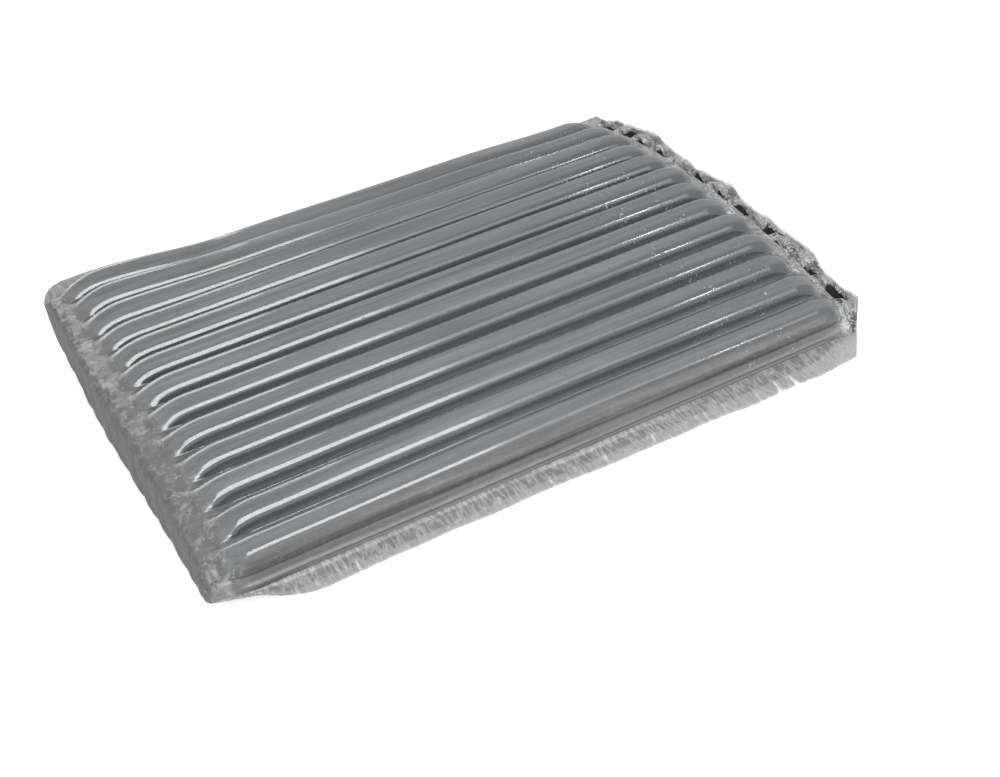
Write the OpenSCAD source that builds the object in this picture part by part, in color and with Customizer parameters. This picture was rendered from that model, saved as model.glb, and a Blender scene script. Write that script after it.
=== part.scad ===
// Inflated air column bag: a padded pouch of clear film, folded at one end and open at the other.
// Two webs of film are welded to each other between the columns and at the side seams, so the bag
// is one piece. Its air columns are solid here, with the air counted in, and a strip of valve film
// lies in each of them.
// X runs along the columns towards the mouth, Y across them, and Z = 0 is the surface it lies on.

/* [Air columns] */
// Number of air columns across each panel
columns = 13; // [9:2:17]
// Diameter of an inflated column
column_d = 17.4; // [13:0.2:22]
// Length of a column from tip to tip
column_length = 342; // [220:2:460]
// Width of the flat weld between two columns
land_w = 2.6; // [1.6:0.1:5]
// Length of the tapered tip at the folded end
fold_taper = 18; // [12:1:30]
// Length of the rounded end at the mouth
mouth_taper = 11; // [9:0.5:20]
// Width of the flat that the bag's weight presses on each lower column
rest_flat_w = 4; // [2:0.2:6]

/* [Film] */
// Thickness of each of the two webs of film
film_t = 0.3; // [0.2:0.05:0.5]
// Thickness of the doubled film that makes the check valves
valve_t = 0.2; // [0.1:0.05:0.3]

/* [Pocket] */
// Rise of the upper panel in the middle of the pocket
crown = 13; // [8:0.5:24]
// Gap between the upper and the lower panel at the sides of the pocket
side_gap = 4; // [0.6:0.1:8]
// Reach of the folded film past the column tips
fold_reach = 18; // [14:0.5:30]

/* [Seams and fill channel] */
// Width of the film between the last column and its side weld
seam_margin = 3.3; // [2:0.1:6]
// Width of the flat side weld
flange_w = 13.4; // [6:0.2:20]
// Radius of the side weld's corner at the folded end
fold_corner = 12; // [6:0.5:16]
// Width of the flat fill channel past the column ends
channel_w = 37; // [20:0.5:50]
// Sag of the upper panel's fill channel at the mouth
channel_sag = 5; // [2:0.5:9]
// Radius of the film's corner at the mouth
mouth_corner = 44; // [14:1:50]

/* [Check valves] */
// Length of the valve film inside a column
valve_reach = 60; // [40:1:110]
// Gap between the valve film and the air column round it
valve_gap = 0.2; // [0.1:0.05:0.4]

/* [Hidden] */
$fn = 64;

film_grey = [0.60, 0.61, 0.63];
valve_grey = [0.80, 0.80, 0.78];

// Length by which a cutting shape runs past what it cuts
past = 2;

column_r = column_d / 2;
pitch = column_d + land_w;
last_axis = (columns - 1) / 2 * pitch;

// Heights of the two panels' weld planes, measured at the columns' axes
rest_axis = sqrt(column_r * column_r - pow(rest_flat_w / 2, 2));
side_rise = column_d + side_gap;
side_axis = rest_axis + side_rise;

// The upper panel's arc across the bag, from the chord and the rise
crown_r = (last_axis * last_axis + crown * crown) / (2 * crown);
crown_centre = side_axis + crown - crown_r;

// The film rolls round the fold on half the distance between the panels
fold_r = side_rise / 2;
bag_l = film_t + fold_reach + column_length + channel_w;
fold_x = film_t - bag_l / 2;
mouth_x = bag_l / 2;
tip_x = fold_x + fold_reach;
sag_x = tip_x + column_length + past;
seam_z = rest_axis + fold_r;
seam_y = last_axis + column_r + seam_margin;
seam_slope = atan(fold_r / (seam_y - last_axis));
flange_y = seam_y + flange_w;

// A side weld joins both webs of both panels
seam_t = 4 * film_t;

top_z = side_axis + crown + column_d;

function axis_y(i) = (i - (columns - 1) / 2) * pitch;
function arc_height(y) = crown_centre + sqrt(crown_r * crown_r - y * y);

// One end of a column: an arc that leaves the side smoothly and meets the axis at the tip.
// Its radius is a whole number of hundredths, so that no step is left where the arc leaves the side.
module tip_outline(taper) {
    tip_r = round(50 * (taper * taper + column_r * column_r) / column_r) / 100;
    intersection() {
        translate([column_r - tip_r, 0]) circle(tip_r, $fn = 160);
        square([column_r, taper]);
    }
}

// Half the lengthwise section of a column, drawn from its tip at the fold
module column_outline() {
    translate([0, fold_taper]) mirror([0, 1]) tip_outline(fold_taper);
    translate([0, fold_taper]) square([column_r, column_length - fold_taper - mouth_taper]);
    translate([0, column_length - mouth_taper]) tip_outline(mouth_taper);
}

module column() {
    translate([tip_x, 0, 0]) rotate([0, 90, 0]) rotate_extrude() column_outline();
}

// A lower column rests on a narrow flat
module resting_column() {
    intersection() {
        translate([0, 0, rest_axis]) column();
        translate([tip_x - past, -column_d, 0]) cube([column_length + 2 * past, 2 * column_d, 2 * column_d]);
    }
}

module air_columns() {
    for (i = [0 : columns - 1]) {
        translate([0, axis_y(i), arc_height(axis_y(i))]) column();
        translate([0, axis_y(i), 0]) resting_column();
    }
}

// What lies under the upper panel's weld plane: a shallow arch, rounded where it rolls into the fold
// and sagging past the column ends
module upper_bound(out, run) {
    sag_end = mouth_x + run;
    sag = channel_sag * (sag_end - sag_x) / (mouth_x - sag_x);
    translate([0, 0, crown_centre]) rotate([0, 90, 0]) rotate_extrude($fn = 720) {
        translate([0, fold_x - out]) square([crown_r - fold_r, sag_x - fold_x + out]);
        translate([0, fold_x + fold_r]) square([crown_r + out, sag_x - fold_x - fold_r]);
        translate([crown_r - fold_r, fold_x + fold_r]) circle(fold_r + out);
        polygon([[0, sag_x], [crown_r + out, sag_x], [crown_r + out - sag, sag_end], [0, sag_end]]);
    }
}

// What lies over the lower panel's weld plane, rounded where it rolls into the fold
module lower_bound(out, run) {
    rotate([90, 0, 0]) linear_extrude(2 * flange_y, center = true) {
        translate([fold_x - out, seam_z]) square([mouth_x + run - fold_x + out, top_z]);
        translate([fold_x + fold_r, rest_axis - out]) square([mouth_x + run - fold_x - fold_r, top_z]);
        translate([fold_x + fold_r, seam_z]) circle(fold_r + out);
    }
}

// What lies between the slopes that bring both panels together at the side welds
module side_bound(out, run) {
    reach = seam_y + out / sin(seam_slope);
    rise = reach * tan(seam_slope);
    translate([fold_x - fold_r, 0, seam_z]) rotate([90, 0, 90])
        linear_extrude(mouth_x + run - fold_x + fold_r)
            polygon([[-reach, 0], [0, -rise], [reach, 0], [0, rise]]);
}

// The whole inside of the bag out to the given distance from the weld planes
module envelope(out, run) {
    intersection() {
        upper_bound(out, run);
        lower_bound(out, run);
        side_bound(out, run);
    }
}

// Flat side welds. Each runs past the film's outline, which trims it.
module side_welds() {
    for (side = [-1, 1])
        translate([fold_x, side * (seam_y + flange_y) / 2 - flange_w / 2 - past, seam_z - seam_t / 2])
            cube([mouth_x - fold_x, flange_w + 2 * past, seam_t]);
}

// Outline of the bag from above, with the film's corners rounded
module plan() {
    fold_edge = fold_x - past;
    linear_extrude(top_z) {
        translate([fold_edge + fold_corner, -flange_y])
            square([mouth_x - mouth_corner - fold_edge - fold_corner, 2 * flange_y]);
        translate([fold_edge, fold_corner - flange_y])
            square([fold_corner + mouth_corner, 2 * (flange_y - fold_corner)]);
        translate([mouth_x - 2 * mouth_corner, mouth_corner - flange_y])
            square([2 * mouth_corner, 2 * (flange_y - mouth_corner)]);
        for (side = [-1, 1]) {
            translate([fold_edge + fold_corner, side * (flange_y - fold_corner)]) circle(fold_corner);
            translate([mouth_x - mouth_corner, side * (flange_y - mouth_corner)]) circle(mouth_corner);
        }
    }
}

// Both webs of film, as welded: the columns, the lands, the fold, the side welds and the fill channel
module film_bag() {
    color(film_grey) intersection() {
        difference() {
            union() {
                envelope(film_t, 0);
                side_welds();
                air_columns();
            }
            difference() {
                envelope(-film_t, past);
                air_columns();
            }
            upper_strips(valve_gap);
            lower_strips(valve_gap);
        }
        plan();
    }
}

// The valve film's run through one column, flat on the weld plane and grown by the given gap
module valve_strip(grown) {
    run_end = column_length - mouth_taper;
    run_w = column_d - 2 * film_t;
    translate([tip_x + run_end - valve_reach - grown, -run_w / 2 - grown, -valve_t / 2 - grown])
        cube([valve_reach + 2 * grown, run_w + 2 * grown, valve_t + 2 * grown]);
}

module upper_strips(grown) {
    for (i = [0 : columns - 1])
        translate([0, axis_y(i), arc_height(axis_y(i))]) valve_strip(grown);
}

module lower_strips(grown) {
    for (i = [0 : columns - 1])
        translate([0, axis_y(i), rest_axis]) valve_strip(grown);
}

module upper_valve_films() {
    color(valve_grey) upper_strips(0);
}

module lower_valve_films() {
    color(valve_grey) lower_strips(0);
}

film_bag();
upper_valve_films();
lower_valve_films();
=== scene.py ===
import math

import bpy
import numpy as np
from mathutils import Matrix, Vector


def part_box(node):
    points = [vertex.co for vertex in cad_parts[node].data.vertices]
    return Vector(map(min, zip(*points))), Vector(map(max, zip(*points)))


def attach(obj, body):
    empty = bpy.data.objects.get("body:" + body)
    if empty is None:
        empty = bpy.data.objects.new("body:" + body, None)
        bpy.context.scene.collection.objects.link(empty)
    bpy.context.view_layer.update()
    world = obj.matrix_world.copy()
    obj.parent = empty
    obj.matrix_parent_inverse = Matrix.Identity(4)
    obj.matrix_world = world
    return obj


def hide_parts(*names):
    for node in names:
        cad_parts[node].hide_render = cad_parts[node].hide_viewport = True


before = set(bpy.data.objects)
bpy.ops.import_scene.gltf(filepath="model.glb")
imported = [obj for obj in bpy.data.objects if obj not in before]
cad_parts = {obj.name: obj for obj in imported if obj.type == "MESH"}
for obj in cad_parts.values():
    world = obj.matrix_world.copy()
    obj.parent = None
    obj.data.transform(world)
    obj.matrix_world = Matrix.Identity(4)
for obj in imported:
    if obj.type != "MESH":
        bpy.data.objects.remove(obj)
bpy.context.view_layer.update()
bagLow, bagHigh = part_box("film_bag")
mm = 0.001


# Node maths as Python expressions: one wrapped socket, and one method for every other node
class Wire:
    def __init__(self, tree, socket):
        self.tree, self.socket = tree, socket

    def math(self, operation, *others):
        values = {0: self}
        for i, other in enumerate(others):
            values[i + 1] = other
        return self.tree.node("ShaderNodeMath", {"operation": operation}, values)

    def __add__(self, other): return self.math("ADD", other)
    def __radd__(self, other): return self.math("ADD", other)
    def __sub__(self, other): return self.math("SUBTRACT", other)
    def __rsub__(self, other): return (self * -1) + other
    def __mul__(self, other): return self.math("MULTIPLY", other)
    def __rmul__(self, other): return self.math("MULTIPLY", other)
    def power(self, other): return self.math("POWER", other)
    def clamp(self): return self.tree.node("ShaderNodeClamp", {}, {"Value": self})

    # 1 where the value is at its middle, falling to 0 on both sides, faster with a higher rate
    def crease(self, rate, power):
        return (1 - (self - 0.5).math("ABSOLUTE") * rate).clamp().power(power)

    # From 0 to 1 between two values, in a straight line or eased at both ends
    def rise(self, low, high, eased=False):
        kind = "SMOOTHSTEP" if eased else "LINEAR"
        return self.tree.node("ShaderNodeMapRange", {"interpolation_type": kind},
                              {"Value": self, "From Min": low, "From Max": high})

    # From one value to another as this one goes from 0 to 1
    def between(self, low, high):
        return self.tree.node("ShaderNodeMapRange", {}, {"Value": self, "To Min": low, "To Max": high})


class Tree:
    def __init__(self, owner):
        self.nodes, self.links = owner.node_tree.nodes, owner.node_tree.links

    # Settings are set first, then values and links go to the sockets
    def node(self, kind, settings=None, sockets=None, out=0):
        made = self.nodes.new(kind)
        for name, value in (settings or {}).items():
            setattr(made, name, value)
        for key, value in (sockets or {}).items():
            if isinstance(value, Wire):
                self.links.new(value.socket, made.inputs[key])
            else:
                made.inputs[key].default_value = value
        return Wire(self, made.outputs[out]) if made.outputs else None

    def mask(self, name):
        return self.node("ShaderNodeAttribute", {"attribute_name": name}, out="Fac")

    def mix(self, factor, a, b):
        return self.node("ShaderNodeMix", {"data_type": "RGBA"}, {"Factor": factor, 6: a, 7: b}, out=2)

    def noise(self, scale, detail=3.0, stretch=(1, 1, 1), rough=0.5):
        place = self.node("ShaderNodeTexCoord", out="Object")
        place = self.node("ShaderNodeMapping", {}, {"Vector": place, "Scale": stretch})
        return self.node("ShaderNodeTexNoise", {}, {"Vector": place, "Scale": scale, "Detail": detail,
                                                    "Roughness": rough})

    def bump(self, height, strength, distance):
        return self.node("ShaderNodeBump", {}, {"Height": height, "Strength": strength, "Distance": distance})


# Seeded value noise on a grid of numpy coordinates, from 0 to 1
def lattice(a, b, seed):
    key = (a * 73856093) ^ (b * 19349663) ^ (seed * 83492791)
    key = (key ^ (key >> 13)) * 1274126177
    return ((key ^ (key >> 16)) & 0xFFFF) / 65535.0


def softNoise(u, v, seed):
    iu, iv = np.floor(u).astype(np.int64), np.floor(v).astype(np.int64)
    fu, fv = u - iu, v - iv
    fu, fv = fu * fu * (3 - 2 * fu), fv * fv * (3 - 2 * fv)
    low = lattice(iu, iv, seed) * (1 - fu) + lattice(iu + 1, iv, seed) * fu
    high = lattice(iu, iv + 1, seed) * (1 - fu) + lattice(iu + 1, iv + 1, seed) * fu
    return low * (1 - fv) + high * fv


# Sharp-ridged crumple, about -1 to 1, from folded noise at two sizes
def crumple(u, v, seed):
    big = 1 - 4 * np.abs(softNoise(u, v, seed) - 0.5)
    small = 1 - 4 * np.abs(softNoise(2.3 * u + 5, 2.3 * v + 9, seed + 1) - 0.5)
    return 0.65 * big + 0.35 * small


# From 0 to 1 as x goes from low to high, eased at both ends. low may be the larger of the two.
def smooth(low, high, x):
    t = np.clip((x - low) / (high - low), 0, 1)
    return t * t * (3 - 2 * t)


# 1 at the centre, falling off to both sides
def bell(x, centre, width):
    return np.exp(-((x - centre) / width) ** 2)


# The bag's own sizes in millimetres. They follow the frame's solids, but for the columns' tips, which
# reach a little further towards the fold.
bag = dict(columns=13, columnDia=17.4, land=2.6, restFlat=4.0, sideGap=4.0, crown=13.0,
           columnLength=351.5, foldReach=8.5, seamMargin=3.3, foldTaper=26.0, mouthTaper=20.0,
           film=0.3, skinGap=0.15, outerClear=0.12, innerClear=0.5)

count = bag["columns"]
columnR = bag["columnDia"] / 2
pitch = bag["columnDia"] + bag["land"]
lastAxis = (count - 1) / 2 * pitch
restAxis = math.sqrt(columnR ** 2 - (bag["restFlat"] / 2) ** 2)
sideRise = bag["columnDia"] + bag["sideGap"]
sideAxis = restAxis + sideRise
crownR = (lastAxis ** 2 + bag["crown"] ** 2) / (2 * bag["crown"])
crownCentre = sideAxis + bag["crown"] - crownR
halfRise = sideRise / 2
seamZ = restAxis + halfRise
seamReach = columnR + bag["seamMargin"]
seamY = lastAxis + seamReach
seamSlope = math.atan2(halfRise, seamReach)
skirtReach = columnR * math.cos(seamSlope)
foldX = bagLow.x / mm + bag["film"]
tipX = foldX + bag["foldReach"]
endX = tipX + bag["columnLength"]
mouthX = bagHigh.x / mm
axes = [(i - (count - 1) / 2) * pitch for i in range(count)]


# Distance of a panel's weld plane from the plane of the side welds. side is 1 above and -1 below.
def panelLift(y, side):
    inside = np.minimum(np.abs(y), lastAxis)
    lift = crownCentre + np.sqrt(crownR ** 2 - inside ** 2) - seamZ if side > 0 else halfRise + 0 * y
    return lift * np.clip((seamY - np.abs(y)) / (seamY - lastAxis), 0, 1) ** 0.7


# Where the film is cut at the mouth: it pulls back towards both side welds, more at the near one
mouth = dict(pullBack=9.5, nearPull=33.0, nearStart=111.0, nearRun=40.0, farPull=6.0)


def cutEdge(y):
    ripple = 1.6 * np.sin(y / 11 + 0.6) + 1.1 * np.sin(y / 6.3)
    near = mouth["nearPull"] * np.clip((-y - mouth["nearStart"]) / mouth["nearRun"], 0, 1)
    far = mouth["farPull"] * smooth(110, 150, y)
    return mouthX - mouth["pullBack"] - near - far + ripple * smooth(150, 110, np.abs(y))


def addObject(name, data):
    made = bpy.data.objects.new(name, data)
    bpy.context.collection.objects.link(made)
    return made


def gridFaces(rows, cols, first=0):
    index = np.arange(rows * cols).reshape(rows, cols) + first
    corners = [index[:-1, :-1], index[:-1, 1:], index[1:, 1:], index[1:, :-1]]
    return np.stack(corners, -1).reshape(-1, 4)


# A smooth sheet from a grid of points in millimetres, with masks for its material
def gridMesh(name, points, masks):
    mesh = bpy.data.meshes.new(name)
    faces = gridFaces(*points.shape[:2])
    mesh.from_pydata((points.reshape(-1, 3) * mm).tolist(), [], faces.tolist())
    for mask, values in masks.items():
        layer = mesh.attributes.new(mask, "FLOAT", "POINT")
        layer.data.foreach_set("value", values.reshape(-1).astype(np.float32))
    mesh.shade_smooth()
    return addObject(name, mesh)


# Points across one web of a panel: column, place, height of the column's weld plane, height over it,
# sine and cosine of the turn round the column, and the place where the film lies flat. The film
# beside the outer columns has a negative turn.
def acrossPanel(steps, side, outer):
    lifts = [float(panelLift(np.array(y), side)) for y in axes]
    skirtSteps, skirtTurn = 6, -0.8
    flatHalf = 0.46 * pitch
    points = []

    def add(i, y, rise, turn, flatY):
        points.append((i, y, lifts[i], rise, math.sin(turn), math.cos(turn), flatY))

    for k in range(skirtSteps):
        reach = seamReach - (seamReach - skirtReach) * k / skirtSteps
        add(0, -lastAxis - reach, -reach * math.tan(seamSlope), skirtTurn, -lastAxis - reach)
    for i in range(count):
        first, last = i == 0, i == count - 1
        fall = seamSlope if first else math.atan2(lifts[i] - lifts[i - 1], pitch)
        drop = seamSlope if last else math.atan2(lifts[i] - lifts[i + 1], pitch)
        start, stop = (-fall, math.pi + drop) if outer else (fall, math.pi - drop)
        flatLeft, flatRight = skirtReach if first else flatHalf, skirtReach if last else flatHalf
        for k in range(steps + 1):
            turn = start + (stop - start) * k / steps
            rise = columnR * math.sin(turn) * (1 if outer else -1)
            flatY = axes[i] - flatLeft + (flatLeft + flatRight) * k / steps
            add(i, axes[i] - columnR * math.cos(turn), rise, turn, flatY)
        if not last:
            land = axes[i] + pitch / 2
            add(i, land, (lifts[i + 1] - lifts[i]) / 2, 0.0, land)
    for k in range(1, skirtSteps + 1):
        reach = skirtReach + (seamReach - skirtReach) * k / skirtSteps
        add(count - 1, lastAxis + reach, -reach * math.tan(seamSlope), skirtTurn, lastAxis + reach)
    return np.array(points).T


# How full a column is at a distance along it: it flattens into a lens at the fold and ends in a dome
# at the mouth, and no two ends lie quite level. The near column starts early above and late below.
def fullness(x, column, side):
    early = 0.9 * np.sin(2.4 * column + 0.5) - 9 * side * (column < 1)
    late = 1.7 * np.sin(1.9 * column + 0.7)
    start = np.clip((x - tipX - early) / bag["foldTaper"], 0, 1)
    stop = np.clip((endX + 4 + late - x) / bag["mouthTaper"], 0, 1)
    return (1 - (1 - start) ** 2) ** 0.8 * (1 - (1 - stop) ** 2) ** 0.7


# Height of a lens of circular arcs, as a share of the column's radius, and its slope's angle
def lens(cosine, full):
    full = np.maximum(full, 0.02)
    k = (1 + full ** 2) / (2 * full)
    deep = np.sqrt(np.maximum(k ** 2 - cosine ** 2, 1e-6))
    return deep - (k - full), np.arctan2(deep, np.abs(cosine))


# The air columns. hollow is how far the film beside the outer ones bows in. The taut film is never
# quite straight: wander moves it up and down, and sway moves it sideways.
columns = dict(tipRows=17, bodyRows=62, domeRows=24, domeStart=16.0, domeRun=23.0, hollow=1.9,
               innerHollow=1.3, wander=0.4, sway=0.6)


def columnStations():
    tips = tipX + bag["foldTaper"] * np.linspace(0, 1, columns["tipRows"]) ** 1.25
    body = np.linspace(tips[-1], endX - columns["domeStart"], columns["bodyRows"])[1:]
    domes = endX - columns["domeStart"] + columns["domeRun"] * np.linspace(0, 1, columns["domeRows"])[1:]
    return np.concatenate([tips, body, domes])


# The columns of one panel, from the tips to the ends of the domes, with the height over the plane of
# the side welds and three masks
def columnRows(across, side, outer):
    column, place, lift, bulge, sine, cosine, level = across[:, None, :]
    x = np.repeat(columnStations()[:, None], across.shape[1], 1)
    onColumn = sine > 0.01
    full = fullness(x, column, side)
    y = level + (place - level) * full ** 0.5
    flat = panelLift(y, side)
    height, tilt = lens(cosine + 0 * x, full)
    up = flat + (lift - flat) * full
    up = up + np.where(onColumn, columnR * height * np.sign(bulge), bulge * full)
    beside = np.clip((np.abs(y) - lastAxis - 6.5) / (seamY - lastAxis - 6.5), 0, 1)
    hollow = columns["hollow"] * (1 if outer else columns["innerHollow"])
    up = up - hollow * np.sin(math.pi * beside) * full
    steep = np.where(onColumn, np.sin(tilt), 0.7 * (1 - full))
    # Painted shade: the steep lower side of each column is coloured dark, and the dark reaches further up the
    # column towards the mouth
    darkEdge = 0.46 + 0.34 * smooth(-60, 110, x)
    flankShade = (1 - smooth(darkEdge, darkEdge + 0.12, steep)) * smooth(0.05, 0.25, steep)
    flankShade = flankShade * smooth(0.02, 0.2, full)
    taut = full * smooth(0.1, 0.6, np.abs(sine))
    up = up + columns["wander"] * (softNoise(x / 55, column + 0 * x, 11 + side) - 0.5) * taut
    y = y + columns["sway"] * (softNoise(x / 70, column * 3 + 0 * x, 17) - 0.5) * taut
    slope = smooth(lastAxis + columnR * 0.75, lastAxis + columnR * 0.95, np.abs(y)) * outer
    haze = np.maximum(1 - smooth(0.1, 0.75, full), 0.2 * slope)
    return x, y, up, dict(haze=haze, flankShade=flankShade, dull=slope * full)


# The fill channel past the domes: film that swells after each column, sags over the pocket and gapes
# between the columns' ends. gapes holds how much each weld gapes.
channel = dict(rows=30, turn=8.0, swell=3.6, fine=0.5, sag=11.0, lowerSag=-1.5, innerDrop=1.3,
               gapeDepth=2.6, gapeMask=1.5,
               gapes=(1.0, 0.85, 0.75, 1.0, 0.7, 0.95, 0.7, 0.95, 0.8, 0.95, 0.75, 0.8))


def channelRows(lastX, level, side, outer):
    t = np.linspace(0, 1, channel["rows"] + 1)[1:, None]
    x = lastX + (cutEdge(level) - lastX) * t
    y = level + 0 * x
    phase = (y + lastAxis - channel["turn"] * t ** 1.3) / pitch * 2 * math.pi
    # Painted light and shade on the channel: pale where the film swells up after each column and dark
    # between, a dark arc round the foot of each dome and a pale arc past it
    strip = 0.5 + 0.5 * np.cos(phase) - 0.5 * bell(t, 0.1, 0.08) + 0.35 * bell(t, 0.3, 0.07)
    near = np.clip((seamY - np.abs(y)) / 12, 0, 1)
    swell = np.cos(phase) * smooth(0, 0.15, t) * (1 - 0.85 * t)
    ruffle = crumple(x / 9, y / 7, 33 + side)
    fine = crumple(x / 4.2, y / 3.4, 43 + side)
    rise = channel["swell"] * swell + (1 - 0.5 * t) * ruffle + channel["fine"] * fine
    up = panelLift(y, side) + near * (rise - (0 if outer else channel["innerDrop"]))
    sag = channel["sag"] * (1 - 0.6 * smooth(40, 112, y)) if side > 0 else channel["lowerSag"]
    up = up - sag * t * near
    # How far the film dips at each gape. The same mask paints shade there: darker film, and the near-black
    # pocket shade through the gapes.
    gapeAndShade = 0 * x
    for weld, depth in enumerate(channel["gapes"]):
        start, length = endX + 3 + 2 * math.sin(2.7 * weld), 14 + 5 * math.sin(1.9 * weld + 1)
        along = np.clip((x - start) / length, 0, 1)
        middle = axes[weld] + pitch / 2 + 2.0 * along + 1.6 * math.sin(3.3 * weld + 0.4)
        ends = smooth(0, 0.35, along) * smooth(1, 0.8, along)
        gapeAndShade = gapeAndShade + channel["gapeMask"] * depth * ends * bell(y, middle, 1.8 + 5.4 * along)
    up = up - channel["gapeDepth"] * gapeAndShade * near * (side > 0)
    return x, y, up, dict(strip=strip, gapeAndShade=gapeAndShade)


# What each mask of the webs marks: loose film, painted shade on the lower side of a column, a gap
# between column ends and the painted shade in it, the fill channel, the rolled fold, white weld specks and
# painted glints, painted light and shade on the strips of the channel, the frosted ridge along the tips, and
# the dull film beside the outer columns
maskNames = ("haze", "flankShade", "gapeAndShade", "channel", "roll", "speck", "strip", "frost", "dull")


# One panel of one web, from the tips to the cut edge
def panel(steps, side, outer):
    across = acrossPanel(steps, side, outer)
    x, y, up, body = columnRows(across, side, outer)
    channelX, channelY, channelUp, loose = channelRows(x[-1], across[-1], side, outer)
    full, none = 0 * channelX + 1, 0 * channelX
    inChannel = np.vstack([smooth(endX - 8, endX + 4, x), full])
    masks = dict(haze=np.vstack([body["haze"], full]), flankShade=np.vstack([body["flankShade"], none]),
                 dull=np.vstack([body["dull"], none]), channel=inChannel,
                 gapeAndShade=np.vstack([0 * x, loose["gapeAndShade"]]), strip=np.vstack([0.8 + 0 * x, loose["strip"]]))
    x, y, up = np.vstack([x, channelX]), np.vstack([y, channelY]), np.vstack([up, channelUp])
    # White specks: two rows of weld dots, and painted glints along the column tips and at the dome ends
    wobble = 9 * (softNoise(y / 16, 0 * y, 57) - 0.5)
    speck = bell(x, 104 + wobble, 4) + 0.9 * bell(x, 132 + 2 * wobble, 6)
    speck = speck + 0.7 * bell(x, tipX + 1, 3) + 0.4 * smooth(endX - 3, endX + 6, x)
    masks.update(speck=np.clip(speck, 0, 1), roll=smooth(tipX + 9, tipX, x), frost=bell(x, tipX + 1, 4))
    skin = bag["skinGap"] * (1 if outer else -1)
    z = np.maximum(seamZ + side * (up + skin), bag["outerClear"] if outer else bag["innerClear"])
    return dict(points=np.stack([x, y, z], -1), **masks)


# The film that rolls round the fold, between the tips of the lower and of the upper panel. The fold
# hangs out further below, and its creases run up to the frosted ridge along the upper tips.
fold = dict(rows=34, reach=11.5, nearReach=1.5, farReach=4.0, scallop=0.4, belly=9.5, topBelly=0.5,
            wrinkle=1.2, pucker=0.3, girth=48.0)


def foldRows(tips, outer):
    skin = bag["skinGap"] * (1 if outer else -1)
    q = np.linspace(0, 1, fold["rows"] + 2)[1:-1, None]
    edge = np.minimum(q, 1 - q)
    y = tips[None, :, 1] + 0 * q
    top, bottom = panelLift(y, 1) + skin, -panelLift(y, -1) - skin
    middle, half = (top + bottom) / 2, (top - bottom) / 2
    sine, cosine = np.sin(math.pi * q), np.cos(math.pi * q)
    reach = fold["reach"] + fold["nearReach"] * smooth(100, 126, -y) - fold["farReach"] * smooth(20, 118, y)
    scallop = np.cos((y + lastAxis) / pitch * 2 * math.pi)
    belly = fold["belly"] * (q < 0.5) + fold["topBelly"]
    belly = belly * np.clip((122 + 10 * (y > 0) - np.abs(y)) / 20, 0, 1)
    x = tipX - (reach + fold["scallop"] * scallop * sine) * sine ** 0.55
    z = seamZ + middle - (half + belly * sine ** 0.6) * np.sign(cosine) * np.abs(cosine) ** 0.62
    fade = smooth(0, 0.10, q) * smooth(0, 0.10, 1 - q)
    path = q * fold["girth"]
    creases = 0.4 * crumple(path / 20, y / 6, 51) + 0.25 * crumple(path / 7, y / 2.8, 61)
    wrinkle = fold["wrinkle"] * crumple(path / 3.0, y / 3.2, 67) * smooth(0.6, 0.86, q)
    pucker = fold["pucker"] * scallop * np.exp(-edge * 9) * smooth(0, 0.03, edge)
    push = (creases * fade + skin + wrinkle * fade + pucker) * np.clip(half / 5, 0.05, 1)
    x = x - push * sine
    z = np.maximum(z - push * cosine, bag["outerClear"])
    # Painted glints as white specks at the near corner of the fold and along its upper edge
    corner = smooth(104, 124, -y) * smooth(0.2, 0.6, q) + 0.6 * smooth(0.9, 1, q)
    masks = {name: 0 * x for name in maskNames}
    masks.update(haze=1 + 0 * x, roll=1 + 0 * x, speck=0.7 * corner, frost=smooth(0.72, 0.92, q) + 0 * x)
    return dict(points=np.stack([x, y, z], -1), **masks)


# The whole film pulls in at the near corner of the fold, stands up at the far one and a little along
# both sides, and is a little lower at the far end of the mouth
pose = dict(pullIn=3.5, farStand=1.6, nearStand=2.0, farCorner=7.5, mouthSink=2.4)


def drape(points):
    x, y, z = points[..., 0], points[..., 1], points[..., 2]
    points[..., 1] = y + pose["pullIn"] * smooth(100, 128, -y) * smooth(tipX + 12, tipX - 14, x)
    stand = pose["farStand"] * bell(x, -80, 90) * smooth(40, 120, y)
    stand = stand + pose["nearStand"] * bell(x, -10, 110) * smooth(50, 110, -y)
    corner = pose["farCorner"] * smooth(-90, -168, x) * smooth(66, 124, y) * smooth(4, 20, z)
    sink = pose["mouthSink"] * bell(x, 140, 45) * smooth(60, 125, y) * smooth(8, 18, z)
    points[..., 2] = z + stand * smooth(seamZ, seamZ + 12, z) + corner - sink
    return points


def webMesh(name, steps, outer):
    lower, upper = panel(steps, -1, outer), panel(steps, 1, outer)
    rolled = foldRows(upper["points"][0], outer)
    whole = {key: np.concatenate([lower[key][::-1], rolled[key], upper[key]], 0) for key in upper}
    points = drape(whole.pop("points"))
    return gridMesh(name, points, whole)


# The flat side welds: the two webs of both panels pressed together and cockled by the heat. Each
# starts at the fold, startBack before the tips. low and high are its greys, and the whitest grey is the
# painted highlight on its ridges.
frontWeld = dict(side=-1, seed=81, foldCorner=3.0, startBack=13.0, waveHeight=1.3, cockle=0.7,
                 low=0.15, high=0.30, glintGrey=0.85)
backWeld = dict(side=1, seed=91, foldCorner=15.0, startBack=7.5, waveHeight=0.5, cockle=0.2,
                low=0.15, high=0.20, glintGrey=0.30)
weldSteps = dict(along=420, across=12)
backWidth, backLean, frontDroop = 13.4, math.radians(26), -0.05


# The front weld comes to a point at the near corner of the fold, and widens towards the mouth
def frontWidth(u):
    start = tipX - frontWeld["startBack"]
    along = start + (mouthX - start) * u
    wide = 0.6 + 14.9 * smooth(-206, -150, along) + 3.5 * smooth(-60, 170, along)
    return wide - 2.5 * bell(along, -181, 10)


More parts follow.
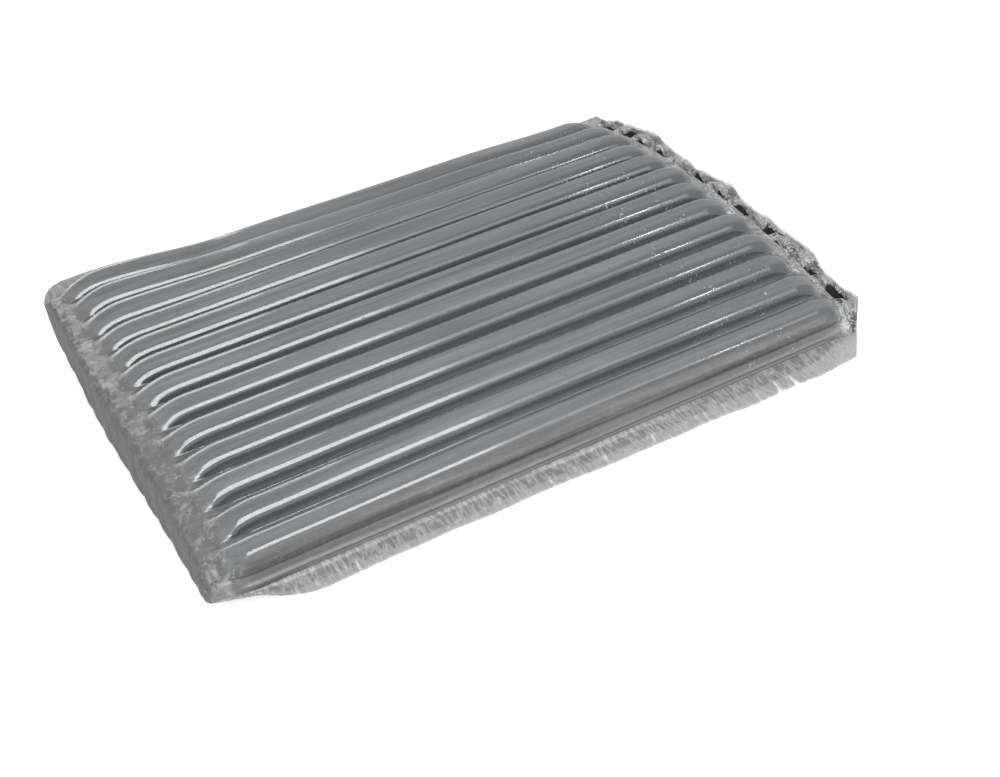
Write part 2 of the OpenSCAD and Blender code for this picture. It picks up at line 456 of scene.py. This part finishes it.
def sideWeld(name, weld):
    side, seed, corner = weld["side"], weld["seed"], weld["foldCorner"]
    v = np.linspace(0, 1, weldSteps["across"] + 1)[:, None]
    u = np.linspace(0, 1, weldSteps["along"] + 1)[None, :]
    out = (frontWidth(u) if side < 0 else backWidth + 0 * u) * v
    cut = 1 - np.sqrt(1 - np.clip((out - out[-1] + corner) / corner, 0, 1) ** 2)
    start = tipX - weld["startBack"] + corner * cut
    x = start + (cutEdge(side * (seamY + out)) - start) * u
    flatX = 0 * x
    wave = softNoise(x / 34, flatX, seed) - 0.5 + 0.6 * (softNoise(x / 15, flatX + v, seed + 1) - 0.5)
    cockles = crumple(x / 5.2 + 0.5 * v, 0.4 * v + flatX, seed + 2)
    cockles = cockles + 0.5 * crumple(x / 2.6, 1.2 * v + flatX, seed + 3)
    loose = smooth(0.0, 0.3, v) * (0.45 + 0.55 * smooth(40, 140, x))
    lean = backLean * smooth(130, -60, x) if side > 0 else frontDroop + flatX
    sway = 0.8 * (softNoise(x / 21, flatX, seed + 5) - 0.5) * v
    y = side * (seamY + out * np.cos(lean) + sway)
    z = seamZ + weld["waveHeight"] * wave * 2 * loose + weld["cockle"] * cockles * loose
    z = z + out * np.sin(lean)
    # Painted highlights: white on the cockles' ridges, more towards the mouth, a pale line near the inner
    # edge towards the fold end, and a white outer edge
    ridgeGlint = smooth(0.62, 1.0, cockles / 1.5) * smooth(0.25, 0.7, v) * (0.8 + 0.8 * smooth(40, 150, x))
    ridgeGlint = ridgeGlint + 0.6 * bell(v, 0.13, 0.05) * smooth(100, 0, x) + 0.5 * smooth(0.9, 1, v)
    points = drape(np.stack([x, y, z], -1))
    upwards = slice(None, None, -side)  # the row order that makes the faces look up
    return gridMesh(name, points[upwards], dict(ridgeGlint=ridgeGlint[upwards]))


# The doubled valve film: a loose strip in each column, held at the column's end
valve = dict(reach=60.0, width=16.2, alongSteps=40, acrossSteps=10, fray=0.8, buckle=0.35, wave=0.5)


def valveFilms(name, side):
    u = np.linspace(0, 1, valve["alongSteps"] + 1)[:, None]
    v = np.linspace(-1, 1, valve["acrossSteps"] + 1)[None, :]
    points, faces = [], []
    for i, axis in enumerate(axes):
        fray = valve["fray"] * crumple(v * 2 + 0 * u, u * 0 + i, 71) * (u > 0.98)
        x = endX - bag["mouthTaper"] - valve["reach"] * u + fray
        y = axis + v * valve["width"] / 2 + 0 * u
        buckle = crumple(x / 6, y / 5, 73 + i) * valve["buckle"]
        buckle = buckle + valve["wave"] * (softNoise(x / 20, y / 9, 75) - 0.5)
        z = seamZ + side * (panelLift(np.array(axis), side) + buckle)
        faces.append(gridFaces(*x.shape, i * x.size))
        points.append(np.stack([x, y, z], -1).reshape(-1, 3) * mm)
    mesh = bpy.data.meshes.new(name)
    mesh.from_pydata(np.concatenate(points).tolist(), [], np.concatenate(faces).tolist())
    mesh.shade_smooth()
    return addObject(name, mesh)


def newMaterial(name):
    material = bpy.data.materials.new(name)
    material.use_nodes = True
    material.node_tree.nodes.clear()
    return material, Tree(material)


def grey(level, warm=0.0):
    return (level * (1 + warm), level, level * (1 - warm), 1)


# Greys, roughness and opacity of the film. Taut film is crest on top of a column, with a darker grey painted
# as shade on its lower side. Loose film is band, roll round the fold and channel at the mouth. The palest
# grey is painted on crinkles as glints and on the weld specks, and the darkest is painted shade in the
# pocket.
film = dict(crest=0.178, valleyShade=0.075, band=0.16, roll=0.13, channel=0.12, glintAndDotWhite=0.7, frost=0.42,
            pocket=0.012, lining=0.17, tautRough=0.10, looseRough=0.18, rollRough=0.3, dullRough=0.35,
            liningRough=0.22, tautAlpha=0.74, valleyAlpha=0.88, index=1.5)


# Clear film that looks grey: smooth and glossy where taut, hazy and finely crinkled where loose
def filmMaterial():
    material, tree = newMaterial("clearFilm")
    haze, flankShade, gapeAndShade, inChannel, roll, speck, strip, frost, dull = (tree.mask(n) for n in maskNames)
    lengthwise = tree.noise(260, 3.0, (0.03, 1, 1), 0.6)
    downFold = tree.noise(190, 3.0, (0.5, 1, 0.22), 0.6)
    streaks = tree.noise(9, 2.0, (1, 14, 14))
    strands = tree.noise(330, 2.0, (0.02, 1, 1))
    fine = tree.noise(600, 4.0, rough=0.65)
    patches = tree.noise(110, 3.0, rough=0.6)
    creases = tree.noise(210, 4.0, rough=0.7)
    dots = tree.noise(520, 2.0).rise(0.64, 0.71, eased=True)
    uneven = (patches - 0.5) * 1.3 + (creases - 0.5) * 0.9
    # Painted highlights: white lines on the crests of the creases in loose film
    ridgeGlint = creases.crease(30, 1.5) * haze * (0.3 + patches.rise(0.5, 0.72) * 1.2) * (1 - roll * 0.7)

    lines = (streaks * 0.35 + lengthwise * 0.65).rise(0.36, 0.64)
    taut = tree.mix(lines, grey(film["crest"] * 0.72, -0.02), grey(film["crest"] * 1.28, -0.06))
    # Painted shade: a dark bluish grey on the lower side of each column
    taut = tree.mix(flankShade, taut, grey(film["valleyShade"], -0.07))
    sloping = tree.mix(lines, grey(film["valleyShade"] * 0.5), grey(film["valleyShade"] * 2.8))
    taut = tree.mix(dull, taut, sloping)
    loose = tree.mix(lengthwise, grey(film["band"] * 0.6, 0.01), grey(film["band"] * 1.4, 0.01))
    rolled = tree.mix(downFold, grey(film["roll"] * 0.7, 0.02), grey(film["roll"] * 1.3, 0.03))
    loose = tree.mix(roll, loose, rolled)
    # Painted light and shade on the channel's strips, darker round each gape, with uneven patches
    channelShading = (strip - gapeAndShade * 0.4 + uneven).rise(0.38, 0.76, eased=True)
    rumpled = tree.mix(channelShading, grey(film["channel"] * 0.22), grey(film["channel"] * 2.2, -0.02))
    loose = tree.mix(inChannel, loose, rumpled)
    colour = tree.mix(haze, taut, loose)
    frosted = (patches * 0.4 + creases * 0.6).rise(0.50, 0.60, eased=True) * frost * 0.6
    colour = tree.mix(frosted, colour, grey(film["frost"]))
    # Painted glints on crinkle crests and at the specks, together with the white weld dots
    glintsAndDots = (ridgeGlint * (0.8 + inChannel * 1.4) + dots * speck * 0.8).clamp()
    colour = tree.mix(glintsAndDots, colour, grey(film["glintAndDotWhite"]))

    alpha = (flankShade.between(film["tautAlpha"], film["valleyAlpha"]) + ridgeGlint * 0.15).clamp()
    rough = haze.between(film["tautRough"], film["looseRough"])
    rough = rough + roll * film["rollRough"] + dull * film["dullRough"]
    height = (creases + fine * 0.4) * haze * (1 - roll * 0.7) + strands * 0.10 + dots * speck * 0.5
    shader = tree.node("ShaderNodeBsdfPrincipled", {}, {
        "Base Color": colour, "Roughness": rough, "Alpha": alpha, "Normal": tree.bump(height, 0.6, 0.001),
        "IOR": film["index"], "Specular IOR Level": 1.0})
    # Painted shade: where the gapes open, a near-black opaque patch stands for the dark inside of the pocket
    pocket = tree.node("ShaderNodeBsdfPrincipled", {}, {
        "Base Color": grey(film["pocket"]), "Roughness": 0.7, "Specular IOR Level": 0.1})
    pocketShadeMask = (gapeAndShade + uneven).rise(0.36, 0.50, eased=True)
    both = tree.node("ShaderNodeMixShader", {}, {0: pocketShadeMask, 1: shader, 2: pocket})
    tree.node("ShaderNodeOutputMaterial", {}, {"Surface": both})
    return material


# The inner web is seen through the outer one and in the pocket, as one even grey
def liningMaterial():
    material, tree = newMaterial("liningFilm")
    shader = tree.node("ShaderNodeBsdfPrincipled", {}, {
        "Base Color": grey(film["lining"], -0.02), "Roughness": film["liningRough"], "IOR": film["index"]})
    tree.node("ShaderNodeOutputMaterial", {}, {"Surface": shader})
    return material


def weldMaterial(name, weld):
    material, tree = newMaterial(name)
    crinkles = tree.noise(90, 3.0, (3.5, 0.8, 1), 0.6)
    lines = crinkles.crease(8, 2.0)
    colour = tree.mix(tree.noise(500, 2.0), grey(weld["low"]), grey(weld["high"]))
    # Painted highlights: the crinkle lines and the ridge mask are whitened
    colour = tree.mix((lines * 0.25 + tree.mask("ridgeGlint") * 0.8).clamp(), colour, grey(weld["glintGrey"]))
    shader = tree.node("ShaderNodeBsdfPrincipled", {}, {
        "Base Color": colour, "Roughness": 0.25, "Alpha": (lines * 0.15 + 0.84).clamp(),
        "Normal": tree.bump(crinkles, 0.6, 0.0015), "IOR": film["index"]})
    tree.node("ShaderNodeOutputMaterial", {}, {"Surface": shader})
    return material


def valveMaterial():
    material, tree = newMaterial("valveFilm")
    creases = tree.noise(240, 3.0, (1, 1, 1), 0.6)
    lines = creases.crease(8, 2.0)
    shader = tree.node("ShaderNodeBsdfPrincipled", {}, {
        "Base Color": tree.mix(lines, grey(0.30), grey(0.62)), "Roughness": 0.3,
        "Alpha": (lines * 0.3 + 0.45).clamp(), "Normal": tree.bump(creases, 0.5, 0.001)})
    tree.node("ShaderNodeOutputMaterial", {}, {"Surface": shader})
    return material


print("webs of film")
outerWeb = webMesh("outerWeb", 15, True)
innerWeb = webMesh("innerWeb", 10, False)
print("side welds and valve films")
frontSeam = sideWeld("frontSideWeld", frontWeld)
backSeam = sideWeld("backSideWeld", backWeld)
upperValve = valveFilms("upperValveFilm", 1)
lowerValve = valveFilms("lowerValveFilm", -1)

print("materials, slots and bodies")
valveFilm = valveMaterial()
materials = ((outerWeb, filmMaterial()), (innerWeb, liningMaterial()),
             (frontSeam, weldMaterial("frontWeldFilm", frontWeld)),
             (backSeam, weldMaterial("backWeldFilm", backWeld)),
             (upperValve, valveFilm), (lowerValve, valveFilm))
for piece, material in materials:
    piece.data.materials.append(material)
    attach(piece, "root")
for piece in (outerWeb, innerWeb, frontSeam, backSeam):
    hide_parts("film_bag")
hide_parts("upper_valve_films")
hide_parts("lower_valve_films")

print("floor, lights and camera")
# Lamps by name: place, the point that it faces, size in metres and power in watts
studio = dict(floor=6.0, floorGrey=0.82, world=0.62, floorGlow=0.6, lamps=dict(
    windowStrip=((-0.07, -0.86, 0.76), (0.0, 0.0, 0.04), (0.80, 0.46), 9.3),
    windowEnd=((0.66, -0.86, 0.76), (0.1, 0.0, 0.04), (0.66, 0.46), 1.5),
    windowGlint=((0.70, -0.82, 0.80), (0.1, 0.0, 0.04), (0.035, 0.12), 0.28),
    lowBack=((-0.25, 1.6, 0.60), (0, 0, 0.03), (1.2, 0.90), 10.0)))


# The floor and the world look white to the camera and in reflections, and light the bag softly
def studioFloor():
    mesh = bpy.data.meshes.new("studioFloor")
    half = studio["floor"] / 2
    corners = [(-half, -half, 0), (half, -half, 0), (half, half, 0), (-half, half, 0)]
    mesh.from_pydata(corners, [], [(0, 1, 2, 3)])
    material, tree = newMaterial("paperFloor")
    seen = tree.node("ShaderNodeLightPath", out="Is Camera Ray")
    shader = tree.node("ShaderNodeBsdfPrincipled", {}, {
        "Base Color": grey(studio["floorGrey"]), "Roughness": 0.9, "Emission Color": grey(1),
        "Emission Strength": seen * studio["floorGlow"]})
    tree.node("ShaderNodeOutputMaterial", {}, {"Surface": shader})
    mesh.materials.append(material)
    addObject("studioFloor", mesh)


def studioWorld():
    world = bpy.data.worlds.new("studioWorld")
    bpy.context.scene.world = world
    world.use_nodes = True
    world.node_tree.nodes.clear()
    tree = Tree(world)
    rays = ("Is Camera Ray", "Is Glossy Ray", "Is Transmission Ray")
    camera, glossy, through = (tree.node("ShaderNodeLightPath", out=ray) for ray in rays)
    strength = (camera + glossy + through).clamp().between(studio["world"], 1.0)
    back = tree.node("ShaderNodeBackground", {}, {"Color": grey(1), "Strength": strength})
    tree.node("ShaderNodeOutputWorld", {}, {"Surface": back})


def lamp(name, place, target, size, power):
    data = bpy.data.lights.new(name, "AREA")
    data.shape = "RECTANGLE"
    data.size, data.size_y = size
    data.energy = power
    made = addObject(name, data)
    way = (Vector(place) - Vector(target)).normalized()
    side = Vector((1, 0, 0)) - way * way.x
    side.normalize()
    up = way.cross(side)
    made.matrix_world = Matrix((side, up, way)).transposed().to_4x4()
    made.location = place


studioFloor()
studioWorld()
for name, (place, target, size, power) in studio["lamps"].items():
    lamp(name, place, target, size, power)

# Angles in degrees, lengths in metres, and the lens in millimetres on a sensor 36 mm wide
view = dict(azimuth=-27.50, elevation=39.01, distance=0.8424, roll=-4.05, focal=57.28, sensor=36.0,
            target=(-0.01210, -0.06426, 0.01619))


def photoCamera():
    az, el, roll = (math.radians(view[k]) for k in ("azimuth", "elevation", "roll"))
    back = Vector((math.sin(az) * math.cos(el), -math.cos(az) * math.cos(el), math.sin(el)))
    right = Vector((math.cos(az), math.sin(az), 0))
    up = back.cross(right)
    tiltedRight = right * math.cos(roll) + up * math.sin(roll)
    tiltedUp = up * math.cos(roll) - right * math.sin(roll)
    data = bpy.data.cameras.new("photoCamera")
    data.lens, data.sensor_width = view["focal"], view["sensor"]
    made = addObject("photoCamera", data)
    made.matrix_world = Matrix((tiltedRight, tiltedUp, back)).transposed().to_4x4()
    made.location = Vector(view["target"]) + back * view["distance"]
    bpy.context.scene.camera = made


photoCamera()
scene = bpy.context.scene
scene.view_settings.view_transform = "Standard"
scene.cycles.transparent_max_bounces = 16
